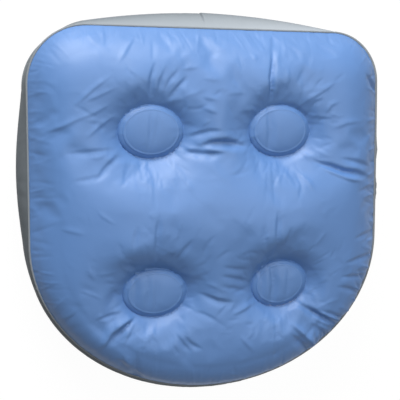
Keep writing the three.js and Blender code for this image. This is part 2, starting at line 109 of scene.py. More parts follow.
# Folds of the top: half width, height (a groove's is negative) and the photograph's pixels on their lines
FOLDS = {
    "crease_behind_back_right_1": (2.0, -0.8, (273, 30), (272, 50), (271.5, 66)),
    "crease_behind_back_right_2": (1.7, -3.4, (272, 48), (271, 78), (269, 108)),
    "fan_behind_back_left_1": (1.8, -1.6, (156, 58), (151, 78), (148, 102)),
    "fan_behind_back_left_2": (1.6, -1.0, (168, 62), (161, 80), (157, 98)),
    "fan_behind_back_left_3": (1.6, -1.0, (181, 66), (170, 80), (163, 94)),
    "fan_behind_back_left_4": (1.8, -1.6, (190, 74), (178, 87), (166, 101)),
    "fan_behind_back_left_5": (1.5, 0.6, (178, 70), (190, 68), (202, 67)),
    "back_left_1": (1.7, 0.7, (136, 32), (128, 46), (117, 66)),
    "back_left_2": (1.6, 0.6, (84, 29), (92, 40), (101, 49)),
    "left_of_back_left_1": (1.5, 0.8, (116, 72), (94, 88), (70, 110)),
    "left_of_back_left_2": (1.5, 0.6, (120, 86), (100, 95), (80, 104)),
    "left_of_back_left_3": (1.6, 0.8, (88, 114), (64, 126), (40, 134)),
    "left_of_back_left_4": (1.5, 0.7, (120, 112), (102, 124), (82, 142)),
    "left_of_back_left_5": (2.0, -1.0, (116, 149), (92, 152), (62, 154)),
    "left_of_back_left_6": (2.2, -1.5, (122, 154), (108, 166), (93, 184)),
    "left_of_back_left_7": (1.8, -0.7, (108, 174), (90, 179), (70, 182)),
    "left_of_back_left_8": (1.5, 0.6, (114, 102), (96, 112), (74, 122)),
    "between_backs_1": (2.8, -4.8, (194, 148), (211, 143), (224, 142.3), (236, 143.2), (250, 147.5)),
    "between_backs_2": (2.5, -3.4, (178, 150.5), (197, 152.8), (211, 154), (230, 153.5)),
    "between_backs_3": (2.0, -1.6, (184, 139), (199, 133.5), (210, 131), (226, 131)),
    "between_backs_4": (1.6, 0.6, (200, 96), (220, 101)),
    "between_backs_5": (1.6, 0.7, (201, 107), (220, 114)),
    "between_backs_6": (1.6, 0.5, (201, 78), (221, 81)),
    "right_of_back_right_1": (1.7, 1.0, (337, 81), (318, 94), (301, 103)),
    "right_of_back_right_2": (1.5, 0.7, (341, 101), (331, 105), (324, 116)),
    "right_of_back_right_3": (1.8, 0.7, (330, 130), (346, 123), (362, 121)),
    "right_of_back_right_4": (2.2, -2.0, (338, 158), (354, 161), (364, 164), (372, 168)),
    "right_of_back_right_5": (
        2.6, -4.6, (305, 158), (320, 163), (332, 166.5), (344, 171), (357, 172.5), (372, 179),
    ),
    "right_of_back_right_6": (2.0, 2.8, (314, 163), (330, 171), (342, 176), (352, 179.5), (364, 181)),
    "right_of_back_right_7": (1.8, 1.0, (294, 168), (304, 178), (316, 193)),
    "behind_front_left_1": (1.9, -1.5, (159, 210), (157, 234), (154, 264)),
    "behind_front_left_2": (1.7, -1.0, (194, 238), (184, 250), (172, 264)),
    "behind_front_left_3": (1.7, -0.9, (138, 224), (135, 238), (134, 254)),
    "left_of_front_left_1": (1.6, 0.5, (58, 228), (86, 235)),
    "fold_before_front_left_1": (2.5, 3.2, (138, 313), (122, 325), (112, 333), (106, 342), (96, 350)),
    "fold_before_front_left_2": (1.5, -2.4, (138, 315.5), (126, 327), (113, 340)),
    "fold_before_front_left_3": (1.7, -1.0, (137, 320), (132, 332), (126, 346)),
    "beside_front_left": (1.6, -1.0, (94, 322), (110, 316), (126, 311)),
    "before_front_left_1": (1.7, -1.3, (174, 332), (183, 344), (193, 354)),
    "before_front_left_2": (1.7, -1.1, (182, 334), (191, 343.5), (205, 351)),
    "before_front_left_3": (1.8, -0.9, (136, 350), (135.5, 366), (137, 384)),
    "before_front_left_4": (1.7, 0.6, (150, 326), (160, 346)),
    "crumple_left_1": (2.0, -1.4, (116, 357), (122, 364), (130, 370)),
    "crumple_left_2": (1.8, 1.2, (122, 352), (127, 362), (136, 367)),
    "crumple_left_3": (1.8, -1.4, (128, 366), (136, 373), (146, 377)),
    "between_fronts_1": (2.2, -2.2, (194, 291), (206, 296), (218, 301), (238, 303)),
    "between_fronts_2": (1.7, -1.0, (220, 266), (236, 269), (252, 269)),
    "between_fronts_3": (1.7, -1.1, (218, 275), (233, 278), (249, 280)),
    "between_fronts_4": (1.7, -1.0, (220, 287), (234, 288), (250, 291)),
    "between_fronts_5": (2.0, 1.3, (257, 300), (245, 308), (230, 316)),
    "between_fronts_6": (1.7, -0.8, (190, 310), (204, 314), (220, 322)),
    "before_front_right_1": (1.7, 0.7, (238, 334), (248, 345), (256, 354)),
    "behind_front_right_1": (1.9, -1.7, (278, 206), (277, 230), (275, 254)),
    "behind_front_right_2": (1.7, -0.9, (262, 222), (264, 236), (267, 250)),
    "behind_front_right_3": (1.7, -0.8, (292, 224), (288, 238), (284, 250)),
    "right_of_front_right_1": (2.6, -5.0, (291, 301), (303, 305.5), (313, 311.5), (324, 319), (342, 327)),
    "right_of_front_right_2": (2.0, 3.0, (308, 313), (321, 321.5), (333, 325.5), (342, 328)),
    "right_of_front_right_3": (2.0, 3.2, (288, 321), (297, 328.5), (303, 334), (316, 349)),
    "right_of_front_right_4": (2.6, -3.2, (290, 333), (299, 341), (312, 356)),
    "right_of_front_right_5": (1.8, 2.4, (316, 312), (327, 315.5), (342, 321)),
    "right_of_front_right_6": (2.0, -2.8, (318, 309.5), (330, 313.5), (346, 319)),
    "right_of_front_right_7": (2.6, -3.0, (311, 323), (319, 329), (332, 341)),
    "right_edge_1": (2.0, -2.4, (364, 72), (371, 81), (379, 94)),
    "right_edge_2": (1.8, -1.6, (352, 38), (366, 50)),
    "right_edge_3": (1.8, -1.6, (361, 47), (376, 65)),
    "right_edge_4": (1.8, -1.8, (352, 239), (364, 234), (380, 228)),
    "right_edge_5": (1.8, -1.8, (342, 264), (358, 258), (376, 250)),
    "right_edge_6": (1.8, -1.9, (338, 277), (352, 276), (372, 274)),
    "right_edge_7": (1.8, -1.8, (334, 286), (348, 288), (366, 293)),
    "right_edge_8": (1.8, -1.6, (356, 192), (366, 188), (380, 186)),
    "pack_fold_left_1": (1.6, -0.4, (152, 36), (152, 64)),
    "pack_fold_left_2": (1.6, -0.4, (152, 164), (154, 216)),
    "pack_fold_left_3": (1.6, -0.4, (154, 322), (154, 382)),
    "pack_fold_right_1": (1.6, -0.4, (270, 162), (274, 212)),
    "pack_fold_right_2": (1.6, -0.4, (273, 312), (270, 368)),
    "in_back_left_1": (1.8, -0.8, (150, 104), (149, 130), (147, 156)),
    "in_back_left_2": (1.6, -0.6, (158, 108), (155, 130), (152, 152)),
    "in_back_right": (3.0, -1.6, (269, 98), (268, 130), (268, 162)),
    "in_front_left_1": (1.8, -1.0, (147, 264), (147, 290), (146, 320)),
    "in_front_left_2": (1.8, -0.8, (156, 268), (155, 290), (153, 318)),
    "in_front_left_3": (2.2, -1.2, (135, 270), (134, 290), (133, 316)),
    "in_front_right_1": (2.8, -2.4, (272, 256), (271, 284), (270, 312)),
    "in_front_right_2": (2.0, -1.2, (261, 262), (260, 282), (260, 304)),
    "in_front_right_3": (1.8, -0.8, (286, 262), (285, 284), (283, 306)),
}

# Shape of a fold: its fading ends, its softer side towards the light and its reach in half widths
FOLD_STEP = 1.0
FOLD_END = 0.42
FOLD_END_WIDTH = 0.6
FOLD_REACH = 3.0
SOFT_SIDE = 2.2
LIGHT_WAY = (-0.3, 0.95)
EDGE_HOLD = 3.0

# Fine creases round the tufts, most of them pointing at their tuft, at distances counted in its radius
CREASES = 600
CREASE_NEAREST = 1.15
CREASE_SPREAD = 0.6
CREASE_LENGTH = (10.0, 38.0)
CREASE_WIDTH = (1.0, 1.7)
CREASE_HEIGHT = 0.5
CREASE_TURN = 0.45
CREASE_BEND = 0.2
CREASE_POINTS = 14
CREASE_SEED = 11

# Small puckers that run in from the seams, highest where the outline faces one way in plan
PUCKER_STEP = 4.5
PUCKER_LENGTH = (8.0, 30.0)
PUCKER_WIDTH = (1.2, 2.4)
PUCKER_HEIGHT = 1.8
PUCKER_LEAST = 0.22
PUCKER_WAY = (0.85, -0.53)
PUCKER_FOCUS = 5.0
PUCKER_POWER = 0.75
PUCKER_SLANT = 0.5
PUCKER_SEED = 5

# Shares of the creases and puckers that show on the underside and on the band
UNDER_CREASES = 0.8
BAND_PUCKERS = 0.6

# Tufts: convex buttons that lean to the front, each with a welded rim and a fine ring on it
TUFT_TILT = 0.1
BUTTON_HEIGHT = 6.5
BUTTON_ROUND = 2.5
BUTTON_EDGE = 0.6
RIM_LAND = 2.0
RIM_FOOT = 1.5
RIM_FOOT_OUT = 0.5
RIM_EDGE_OUT = 0.4
RIM_TUCK = 1.2
RIM_TUCK_RUN = 2.0
RIM_ROWS = 10
RIM_STATIONS = 120
RING_INSET = 3.8
RING_WIDTH = 0.9
RING_STEP = 0.4
RING_DROP = 0.8
RING_FADE = 4.0
RING_ROWS = 6

# How each welded tuft differs from its frame: shift in x and y, shares of its width and length, and turn
TUFT_CHANGES = {
    "back_right": (0.6, 1.7, 1.0, 1.0, 0),
    "back_left": (-0.7, 0.9, 1.0, 1.0, 0),
    "front_left": (2.4, -1.1, 0.99, 0.94, 0),
    "front_right": (1.0, 2.0, 0.92, 0.93, 8),
}

# Welded bead of the seams, as half sizes, wider by a share on the right
BEAD_WIDTH = 1.1
BEAD_RIGHT = 0.5
BEAD_HEIGHT = 0.8
BEAD_SIDES = 10
BEAD_STEP = 2.5

# Lapped ends of the side band, at the middle of the back
LAP_X = -6.0
LAP_WIDTH = 26.0
LAP_EDGE = 0.8
LAP_GROOVE = 1.6
LAP_GROOVE_WIDTH = 0.8
LAP_FADE = 0.2
LAP_REACH = 8.0
LAP_POINTS = 41

# Meshes
TOP_GRID = 305
UNDER_GRID = 201
INNER_STEP = 4
INNER_GAP = 1.6
BAND_STEP = 2.4
BAND_ROWS = 36
ARC_POINTS = 91
OUTLINE_STEP = 2.0
OUTLINE_BATCH = 4000
WELD_GAP = 0.001

# Cloth
CLOTH_FRAMES = 24
CLOTH_STEP = 4
CLOTH_BLUR = 7
CLOTH_FADE = 10.0
CLOTH_CAP = 8.0
CLOTH_PRESSURE = 1.5
CLOTH_GROWTH = 0.006
CLOTH_QUALITY = 6
CLOTH_MASS = 0.2
CLOTH_DAMPING = 2
CLOTH_STRETCH = 30
CLOTH_SHEAR = 12
CLOTH_BENDING = 1.0

# Vinyl: soft patches of colour and gloss, and the strength and depth of its grain and crinkles
PATCH_SCALE = 14
PATCH_DETAIL = 4
PATCH_ENDS = (0.3, 0.7)
GLOSS_SPREAD = 0.05
GRAIN_SCALE = 700
GRAIN_DETAIL = 3
GRAIN_BUMP = (0.08, 0.5)
CRINKLE_SCALE = 45
CRINKLE_DETAIL = 4
CRINKLE_DISTORTION = 0.6
CRINKLE_BUMP = (0.35, 1.5)

# Painted sheen on the grey vinyl: way along which it pales, upwards and a little to the back, and where
# that starts and ends
SHEEN_PAINT_WAY = (0.05, 0.1, 1.0)
SHEEN_PAINT_FROM = 64.0
SHEEN_PAINT_TO = 86.0

# Lamps: place, size and power in watts
LAMPS = {
    "key": ((-420.0, 1750.0, 950.0), 1200.0, 48.5),
    "overhead": ((400.0, 300.0, 1850.0), 1600.0, 14.4),
}
LAMP_TARGET = (0.0, 0.0, 50.0)

# Floor and surroundings
FLOOR_SIZE = 8000.0
FLOOR_GREY = 0.2
FLOOR_SHADE = 0.05
FLOOR_GLOW = 0.97
AMBIENT_COLOR = (0.9, 0.95, 1.0)
AMBIENT_STRENGTH = 0.06


def node_box(node):
    low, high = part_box(node)
    return np.array(low) / MM, np.array(high) / MM


SEAM_LOW, SEAM_HIGH = node_box("top_seam")
SEAM_HALF = (SEAM_HIGH[2] - SEAM_LOW[2]) / 2
SEAM_Z = (SEAM_HIGH[2] + SEAM_LOW[2]) / 2
UNDER_SEAM_Z = np.mean([box[2] for box in node_box("bottom_seam")])
HALF_WIDTH = SEAM_HIGH[0] - SEAM_HALF
BACK_Y = SEAM_HIGH[1] - SEAM_HALF
FRONT_Y = SEAM_LOW[1] + SEAM_HALF
ARC_Y = FRONT_Y + FRONT_DEPTH
CROWN_Z = node_box("top_panel")[1][2]
PLATEAU_Z = CROWN_Z - PLATEAU_DROP
CORNERS = ["back_right", "back_left", "front_left", "front_right"]
TUFT_Z = node_box("tuft_rim_top_back_left")[0][2]
UNDER_TUFT_Z = node_box("tuft_rim_bottom_back_left")[1][2]
FLANGE_LOW, FLANGE_HIGH = node_box("valve_flange")
VALVE_Y, VALVE_Z = ((FLANGE_LOW + FLANGE_HIGH) / 2)[1:]
SINK_X = FLANGE_HIGH[0] - SINK_UNDER


def find_tuft(corner):
    low, high = node_box(f"tuft_rim_top_{corner}")
    x, y, _ = (low + high) / 2
    half = (high - low) / 2 + RIM_LAND
    shift_x, shift_y, width, length, turn = TUFT_CHANGES[corner]
    return {
        "name": corner,
        "x": x + shift_x,
        "y": y + shift_y,
        "rx": half[0] * width,
        "ry": half[1] * length,
        "turn": math.radians(turn),
    }


TUFTS = [find_tuft(corner) for corner in CORNERS]


# Camera


def camera_axes():
    forward = (CAMERA_TARGET - CAMERA_PLACE).normalized()
    up = Quaternion(forward, CAMERA_ROLL) @ Vector((0, 1, 0))
    right = forward.cross(up).normalized()
    return right, right.cross(forward), -forward


def make_camera():
    data = bpy.data.cameras.new("camera")
    data.sensor_width = SENSOR_WIDTH
    data.lens = SENSOR_WIDTH * FOCAL_PIXELS / PHOTO_SIZE
    camera = bpy.data.objects.new("camera", data)
    turn = Matrix(camera_axes()).transposed().to_4x4()
    camera.matrix_world = Matrix.Translation(CAMERA_PLACE * MM) @ turn
    bpy.context.scene.collection.objects.link(camera)
    bpy.context.scene.camera = camera


# Plan


def resample(points, count):
    lengths = np.concatenate([[0], np.cumsum(np.linalg.norm(np.diff(points, axis=0), axis=1))])
    stations = np.linspace(0, lengths[-1], count)
    return np.stack([np.interp(stations, lengths, values) for values in points.T], axis=1)


def arc(x, y, radius_x, radius_y, start, end):
    angles = np.radians(np.linspace(start, end, ARC_POINTS))
    return np.stack([x + radius_x * np.cos(angles), y + radius_y * np.sin(angles)], axis=1)


def seam_outline():
    """Points of the closed seam line, anticlockwise from the front end of the right side."""
    right = CORNER_RADIUS
    left = LEFT_CORNER_RADIUS
    line = np.concatenate([
        [[HALF_WIDTH, ARC_Y]],
        arc(HALF_WIDTH - right, BACK_Y - right, right, right, 0, 90),
        arc(left - HALF_WIDTH, BACK_Y - left, left, left, 90, 180),
        arc(0, ARC_Y, HALF_WIDTH, FRONT_DEPTH, 180, 360),
    ])
    length = np.sum(np.linalg.norm(np.diff(line, axis=0), axis=1))
    line = resample(line, int(length / OUTLINE_STEP) + 1)[:-1]
    along = np.clip((line[:, 1] - ARC_Y) / (BACK_Y - ARC_Y), 0, 1)
    line[:, 0] += np.where(line[:, 0] > 0, RIGHT_BOW * np.sin(math.pi * along), 0)
    return line


OUTLINE = seam_outline()


def nearest_station(x, y):
    return int(np.argmin(np.hypot(OUTLINE[:, 0] - x, OUTLINE[:, 1] - y)))


def plan_grid(count):
    """A square grid of points spread over the plan, its rows from the front to the back."""
    slant = math.sqrt(0.5)
    corner_x = HALF_WIDTH - CORNER_RADIUS * (1 - slant)
    corner_y = BACK_Y - CORNER_RADIUS * (1 - slant)
    back_right = nearest_station(corner_x, corner_y)
    back_left = nearest_station(-corner_x, corner_y)
    front_left = nearest_station(-HALF_WIDTH * slant, ARC_Y - FRONT_DEPTH * slant)
    front_right = nearest_station(HALF_WIDTH * slant, ARC_Y - FRONT_DEPTH * slant)
    back = resample(OUTLINE[back_right:back_left + 1][::-1], count)
    left = resample(OUTLINE[back_left:front_left + 1][::-1], count)
    front = resample(OUTLINE[front_left:front_right + 1], count)
    right = resample(np.concatenate([OUTLINE[front_right:], OUTLINE[:back_right + 1]]), count)
    u = np.linspace(0, 1, count)[None, :, None]
    v = np.linspace(0, 1, count)[:, None, None]
    edges = (1 - v) * front[None] + v * back[None] + (1 - u) * left[:, None] + u * right[:, None]
    ends = (1 - v) * ((1 - u) * front[0] + u * front[-1]) + v * ((1 - u) * back[0] + u * back[-1])
    return (edges - ends).reshape(-1, 2)


def edge_of(points):
    """Distance in from the seam line, and the place of the nearest point along it."""
    normals = outline_normals(OUTLINE)
    stations = []
    for part in np.array_split(points, max(1, len(points) // OUTLINE_BATCH)):
        gaps = np.sum((part[:, None] - OUTLINE[None]) ** 2, axis=2)
        stations.append(np.argmin(gaps, axis=1))
    station = np.concatenate(stations)
    across = points - OUTLINE[station]
    inward = np.maximum(0, -np.sum(across * normals[station], axis=1))
    along = across[:, 1] * normals[station, 0] - across[:, 0] * normals[station, 1]
    return inward, station * OUTLINE_STEP + along


def edge_distance(points):
    return edge_of(points)[0]


def outline_normals(line):
    ahead = np.roll(line, -1, axis=0) - np.roll(line, 1, axis=0)
    ahead /= np.linalg.norm(ahead, axis=1, keepdims=True)
    return np.stack([ahead[:, 1], -ahead[:, 0]], axis=1)


# Height of the sheets


def smooth(share):
    share = np.clip(share, 0, 1)
    return share * share * (3 - 2 * share)


def hump(share):
    """A parabola that is 0 at both ends and 1 half-way."""
    return 4 * share * (1 - share)


def swell(distance, run):
    return 1 - (1 - np.clip(distance / run, 0, 1)) ** SWELL_POWER


def tuft_share(points, tuft):
    """How far out each point is from a tuft's middle, where 1 is the tuft's edge."""
    x = points[:, 0] - tuft["x"]
    y = points[:, 1] - tuft["y"]
    cos, sin = math.cos(tuft["turn"]), math.sin(tuft["turn"])
    return np.hypot((x * cos + y * sin) / tuft["rx"], (y * cos - x * sin) / tuft["ry"])


def tuft_radius(tuft):
    return (tuft["rx"] + tuft["ry"]) / 2


def tuft_gap(points, tuft):
    return np.maximum(0, tuft_share(points, tuft) - 1) * tuft_radius(tuft)


def drawn(points, swollen, tuft_z, pull, shorter=0, tilt=0):
    """Draw a swollen sheet down to its tufts, over a shorter way on one side, and let the tufts lean."""
    freedom = np.ones(len(points))
    lean = np.zeros(len(points))
    for tuft in TUFTS:
        away = points - [tuft["x"], tuft["y"]]
        facing = away @ SHORT_WAY / np.maximum(1, np.linalg.norm(away, axis=1))
        reach = pull * (1 - shorter * np.maximum(0, facing) ** 2)
        held = np.maximum(0, 1 - tuft_gap(points, tuft) / reach) ** PULL_POWER
        freedom *= 1 - held
        lean += held * tilt * (points[:, 1] - tuft["y"])
    return tuft_z + (swollen - tuft_z) * freedom + lean


def eased_swell(points, run):
    """Swelling from the seam, averaged over small discs so that two sides' slopes meet without a ridge."""
    distance = edge_distance(points)
    reach = np.minimum(EASE_RADIUS, distance / 2)[:, None]
    total = swell(distance, run)
    for angle in np.linspace(0, 2 * math.pi, EASE_SAMPLES, endpoint=False):
        total += swell(edge_distance(points + reach * [math.cos(angle), math.sin(angle)]), run)
    return total / (EASE_SAMPLES + 1)


def middle_rise(points):
    """Rise of the pillow between the two rows of tufts."""
    across = smooth((MIDDLE_END - np.abs(points[:, 0])) / (MIDDLE_END - MIDDLE_FULL))
    middle = np.mean([tuft["y"] for tuft in TUFTS])
    gap = points[:, 1] - middle
    share = np.clip(gap / np.where(gap > 0, MIDDLE_REACH_BACK, MIDDLE_REACH_FRONT), -1, 1)
    return MIDDLE_RISE * across * (1 + np.cos(math.pi * share)) / 2


def puff_rise(points):
    """Rise of the puff behind each tuft."""
    rise = np.zeros(len(points))
    for tuft in TUFTS:
        away_x = points[:, 0] - tuft["x"] - PUFF_SHIFT[0]
        away_y = points[:, 1] - tuft["y"] - PUFF_SHIFT[1]
        rise += PUFF_HEIGHT * np.exp(-(np.hypot(away_x, away_y) / PUFF_RADIUS) ** 2)
    return rise


def top_height(points):
    low = SEAM_Z - SEAM_DIP
    front = smooth((ARC_Y - points[:, 1]) / FRONT_EASE)
    run = CROWN_RUN + (FRONT_RUN - CROWN_RUN) * front
    swollen = low + (PLATEAU_Z - low) * eased_swell(points, run)
    swollen += middle_rise(points)
    swollen += puff_rise(points)
    return drawn(points, swollen, TUFT_Z, TOP_PULL, SHORT_PULL, TUFT_TILT)


def under_height(points):
    swollen = UNDER_SEAM_Z * (1 - swell(edge_distance(points), REST_RUN))
    return drawn(points, swollen, UNDER_TUFT_Z, BOTTOM_PULL)


# Folds and puckers


def photo_point(pixel):
    """The place on the top, in plan, that a pixel of the photograph shows."""
    right, up, back = camera_axes()
    across = (pixel[0] - PHOTO_SIZE / 2) / FOCAL_PIXELS
    down = (pixel[1] - PHOTO_SIZE / 2) / FOCAL_PIXELS
    ray = right * across - up * down - back
    z = CROWN_Z
    for _ in range(RAY_STEPS):
        place = CAMERA_PLACE + ray * ((z - CAMERA_PLACE.z) / ray.z)
        z = top_height(np.array([place[:2]]))[0]
    return place[:2]


def stroke_rise(points, line, half_width, height):
    """Rise of one fold along a line: its shaded side is the steeper, and it fades to its ends."""
    reach = half_width * SOFT_SIDE * FOLD_REACH
    inside = np.all((points > line.min(axis=0) - reach) & (points < line.max(axis=0) + reach), axis=1)
    rise = np.zeros(len(points))
    if np.any(inside):
        gaps = points[inside][:, None] - line[None]
        lengths = np.linalg.norm(gaps, axis=2)
        nearest = np.argmin(lengths, axis=1)
        rows = np.arange(len(nearest))
        lit = gaps[rows, nearest] @ LIGHT_WAY * height > 0
        share = nearest / (len(line) - 1)
        ends = smooth(np.minimum(share, 1 - share) / FOLD_END)
        width = half_width * np.where(lit, SOFT_SIDE, 1)
        width = width * (FOLD_END_WIDTH + (1 - FOLD_END_WIDTH) * ends)
        rise[inside] = height * ends * np.exp(-(lengths[rows, nearest] / width) ** 2)
    return rise


def fold_line(pixels):
    corners = np.array([photo_point(pixel) for pixel in pixels])
    length = np.sum(np.linalg.norm(np.diff(corners, axis=0), axis=1))
    return resample(corners, int(length / FOLD_STEP) + 2)


FOLD_LINES = [(fold_line(pixels), half_width, height) for half_width, height, *pixels in FOLDS.values()]


def crease_rise(points):
    """Rise of the fine creases at each point of the plan."""
    draw = np.random.default_rng(CREASE_SEED)
    rise = np.zeros(len(points))
    for _ in range(CREASES):
        tuft = TUFTS[draw.integers(len(TUFTS))]
        angle = draw.uniform(0, 2 * math.pi)
        away = tuft_radius(tuft) * (CREASE_NEAREST + draw.exponential(CREASE_SPREAD))
        middle = np.array([tuft["x"] + away * math.cos(angle), tuft["y"] + away * math.sin(angle)])
        angle += draw.normal(0, CREASE_TURN)
        half = draw.uniform(*CREASE_LENGTH) / 2 * np.array([math.cos(angle), math.sin(angle)])
        bend = draw.normal(0, CREASE_BEND) * half[::-1] * [-1, 1]
        share = np.linspace(-1, 1, CREASE_POINTS)[:, None]
        line = middle + half * share + bend * (1 - share ** 2)
        rise += stroke_rise(points, line, draw.uniform(*CREASE_WIDTH), CREASE_HEIGHT * draw.uniform(-1, 1))
    return rise


def wrinkle_rise(points):
    """Rise of the folds and fine creases at each point of the plan."""
    rise = crease_rise(points)
    for line, half_width, height in FOLD_LINES:
        rise += stroke_rise(points, line, half_width, height)
    return rise


def pucker_rise(distance, station):
    """Rise of the short puckers along a seam, from the distance off it and the place along it."""
    draw = np.random.default_rng(PUCKER_SEED)
    around = len(OUTLINE) * OUTLINE_STEP
    facing = np.maximum(0, outline_normals(OUTLINE) @ PUCKER_WAY)
    strength = PUCKER_HEIGHT * (PUCKER_LEAST + (1 - PUCKER_LEAST) * facing ** PUCKER_FOCUS)
    rise = np.zeros(len(distance))
    near = np.flatnonzero(distance < PUCKER_LENGTH[1])
    for start in np.arange(0, around, PUCKER_STEP):
        middle = start + draw.uniform(0, PUCKER_STEP)
        length = draw.uniform(*PUCKER_LENGTH)
        width = draw.uniform(*PUCKER_WIDTH)
        height = strength[int(middle / OUTLINE_STEP) % len(OUTLINE)] * draw.uniform(-1, 1)
        slant = draw.uniform(-PUCKER_SLANT, PUCKER_SLANT)
        gap = station[near] - middle - slant * distance[near]
        gap -= around * np.round(gap / around)
        share = np.clip(distance[near] / length, 0, 1) ** PUCKER_POWER
        rise[near] += height * hump(share) * np.exp(-(gap / width) ** 2)
    return rise


# Mesh helpers


def mesh_object(name, points, faces, material):
    mesh = bpy.data.meshes.new(name)
    mesh.from_pydata((np.asarray(points) * MM).tolist(), [], faces)
    mesh.validate()
    mesh.shade_smooth()
    piece = bpy.data.objects.new(name, mesh)
    bpy.context.scene.collection.objects.link(piece)
    piece.data.materials.append(material)
    return piece


def grid_faces(rows, columns, closed=False):
    last = columns if closed else columns - 1
    faces = []
    for row in range(rows - 1):
        for column in range(last):
            ahead = (column + 1) % columns
            low = row * columns
            high = low + columns
            faces.append((low + column, low + ahead, high + ahead, high + column))
    return faces


def coordinates(piece):
    flat = np.empty(len(piece.data.vertices) * 3)
    piece.data.vertices.foreach_get("co", flat)
    return flat.reshape(-1, 3) / MM


def grid_normals(grid):
    """Upward normals of a grid of points whose rows run from the front to the back."""
    normals = np.cross(np.gradient(grid, axis=1), np.gradient(grid, axis=0))
    return normals / np.linalg.norm(normals, axis=2, keepdims=True)


def shell(name, grid, side, material):
    """A closed sheet: a fine outer face, a coarser inner one, and a strip between their edges."""
    count = len(grid)
    inner = (grid - grid_normals(grid) * side * INNER_GAP)[::INNER_STEP, ::INNER_STEP]
    small = len(inner)
    first = count * count
    faces = grid_faces(count, count)
    faces += [tuple(first + i for i in face[::-1]) for face in grid_faces(small, small)]
    fine = border(count)
    coarse = [first + i for i in border(small)]
    for k in range(len(coarse)):
        edge = [fine[(k * INNER_STEP + i) % len(fine)] for i in range(INNER_STEP, -1, -1)]
        faces.append((*edge, coarse[k], coarse[(k + 1) % len(coarse)]))
    if side < 0:
        faces = [face[::-1] for face in faces]
    return mesh_object(name, np.concatenate([grid.reshape(-1, 3), inner.reshape(-1, 3)]), faces, material)


def border(count):
    """Numbers of the points round the edge of a square grid, anticlockwise."""
    front = [i for i in range(count)]
    right = [i * count + count - 1 for i in range(1, count)]
    back = [(count - 1) * count + i for i in range(count - 2, -1, -1)]
    left = [i * count for i in range(count - 2, 0, -1)]
    return front + right + back + left


def apply_modifiers(piece):
    bpy.context.view_layer.update()
    graph = bpy.context.evaluated_depsgraph_get()
    mesh = bpy.data.meshes.new_from_object(piece.evaluated_get(graph))
    piece.modifiers.clear()
    piece.data = mesh


def thicken(piece, thickness):
    modifier = piece.modifiers.new("film", "SOLIDIFY")
    modifier.thickness = thickness * MM
    modifier.offset = -1
    apply_modifiers(piece)
    piece.data.shade_smooth()


def weld(piece):
    mesh = bmesh.new()
    mesh.from_mesh(piece.data)
    bmesh.ops.remove_doubles(mesh, verts=mesh.verts, dist=WELD_GAP * MM)
    mesh.to_mesh(piece.data)
    mesh.free()


# Cloth


def held_points(plan, edge):
    held = np.zeros(len(plan), bool)
    held[edge] = True
    for tuft in TUFTS:
        held |= tuft_share(plan, tuft) < 1
    return held


def add_cloth(piece, held):
    group = piece.vertex_groups.new(name="held")
    group.add([int(i) for i in np.flatnonzero(held)], 1.0, "REPLACE")
    cloth = piece.modifiers.new("cloth", "CLOTH")
    settings = cloth.settings
    settings.quality = CLOTH_QUALITY
    settings.mass = CLOTH_MASS
    settings.air_damping = CLOTH_DAMPING
    settings.tension_stiffness = CLOTH_STRETCH
    settings.compression_stiffness = CLOTH_STRETCH
    settings.shear_stiffness = CLOTH_SHEAR
    settings.bending_stiffness = CLOTH_BENDING
    settings.vertex_group_mass = group.name
    settings.use_pressure = True
    settings.uniform_pressure_force = CLOTH_PRESSURE
    settings.shrink_min = -CLOTH_GROWTH
    settings.effector_weights.gravity = 0
    cloth.collision_settings.use_collision = False
    cloth.point_cache.frame_start = 1
    cloth.point_cache.frame_end = CLOTH_FRAMES


def simulate(points, faces, held):
    """How far each point of a sheet moves when it swells as cloth, with the held points fixed."""
    piece = mesh_object("cloth_sheet", points, faces, BLUE)
    add_cloth(piece, held)
    scene = bpy.context.scene
    for step in range(1, CLOTH_FRAMES + 1):
        scene.frame_set(step)
    apply_modifiers(piece)
    scene.frame_set(1)
    move = coordinates(piece) - points
    bpy.data.objects.remove(piece)
    length = np.linalg.norm(move, axis=1, keepdims=True)
    return move * CLOTH_CAP / np.maximum(length, CLOTH_CAP)


def spread(moves, count):
    """Spread the moves of a coarse square grid smoothly over a finer one."""
    small = len(moves)
    fine = np.linspace(0, small - 1, count)
    low = np.minimum(fine.astype(int), small - 2)
    share = (fine - low)[:, None, None]
    moves = moves[low] * (1 - share) + moves[low + 1] * share
    share = (fine - low)[None, :, None]
    moves = moves[:, low] * (1 - share) + moves[:, low + 1] * share
    kernel = np.hanning(CLOTH_BLUR + 2)[1:-1]
    reach = CLOTH_BLUR // 2
    for axis in (0, 1):
        padded = np.pad(moves, [(reach, reach) if i == axis else (0, 0) for i in range(3)], mode="edge")
        moves = sum(
            weight * np.take(padded, range(i, i + count), axis=axis)
            for i, weight in enumerate(kernel / kernel.sum())
        )
    return moves


def swelled(grid):
    """Let a sheet swell as cloth between its seam and its tufts."""
    count = len(grid)
    coarse = grid[::CLOTH_STEP, ::CLOTH_STEP]
    small = len(coarse)
    points = coarse.reshape(-1, 3)
    held = held_points(points[:, :2], border(small))
    moves = simulate(points, grid_faces(small, small), held)
    plan = grid.reshape(-1, 3)[:, :2]
    fade = smooth(edge_distance(plan) / CLOTH_FADE)
    for tuft in TUFTS:
        fade *= smooth(tuft_gap(plan, tuft) / CLOTH_FADE)
    return grid + spread(moves.reshape(small, small, 3), count) * fade.reshape(count, count, 1)


# Materials


def noise(tree, where, scale, detail):
    texture = tree.nodes.new("ShaderNodeTexNoise")
    texture.inputs["Scale"].default_value = scale
    texture.inputs["Detail"].default_value = detail
    tree.links.new(where.outputs["Object"], texture.inputs["Vector"])
    return texture


